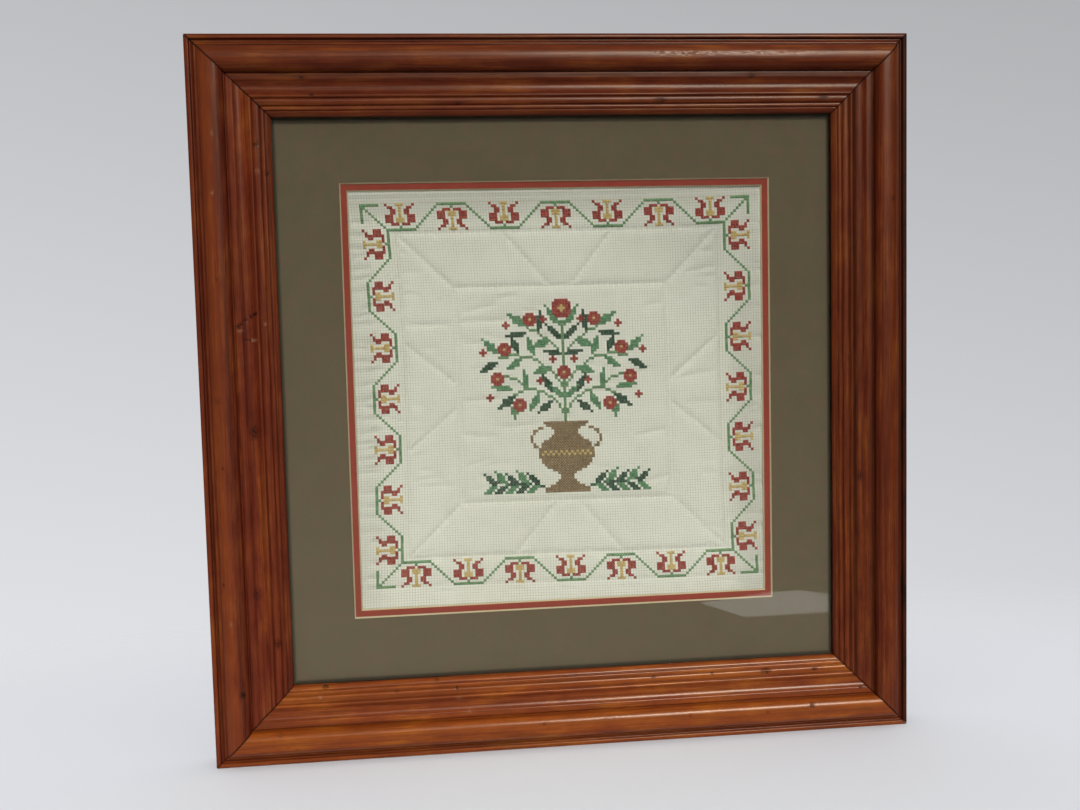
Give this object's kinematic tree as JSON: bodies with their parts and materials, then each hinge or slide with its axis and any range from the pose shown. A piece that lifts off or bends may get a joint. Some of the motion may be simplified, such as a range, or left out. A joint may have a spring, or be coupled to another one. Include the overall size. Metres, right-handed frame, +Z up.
{
  "type": "framed cross-stitch",
  "caption": "Square cream cross-stitched and quilted cloth with a tulip border, behind glass and bevelled window mats in a wide moulded pine frame, standing on its lower edge.",
  "frame": {"origin": "centre of the flat underside of the bottom rail, below the middle of the whole frame's depth", "axes": "+Z up the picture, -Y the way the picture faces, +X to the viewer's right"},
  "size_m": [0.468, 0.028, 0.469],
  "materials": {
    "varnished_pine": "reddish antique-pine stain under satin varnish",
    "picture_glass": "clear polished float glass",
    "olive_mat_board": "matt olive-taupe paper mat board with a cream core",
    "red_mat_board": "matt brick-red paper mat board with a cream core",
    "cream_cloth": "matt cream evenweave cotton, cross-stitched in red, gold, green and brown",
    "backing_board": "plain brown fibreboard"
  },
  "bodies": {
    "root": {"rail_top": "varnished_pine", "rail_bottom": "varnished_pine", "rail_left": "varnished_pine", "rail_right": "varnished_pine", "glass": "picture_glass", "outer_mat": "olive_mat_board", "inner_mat": "red_mat_board", "cloth": "cream_cloth", "backing_board": "backing_board"}
  },
  "joints": []
}
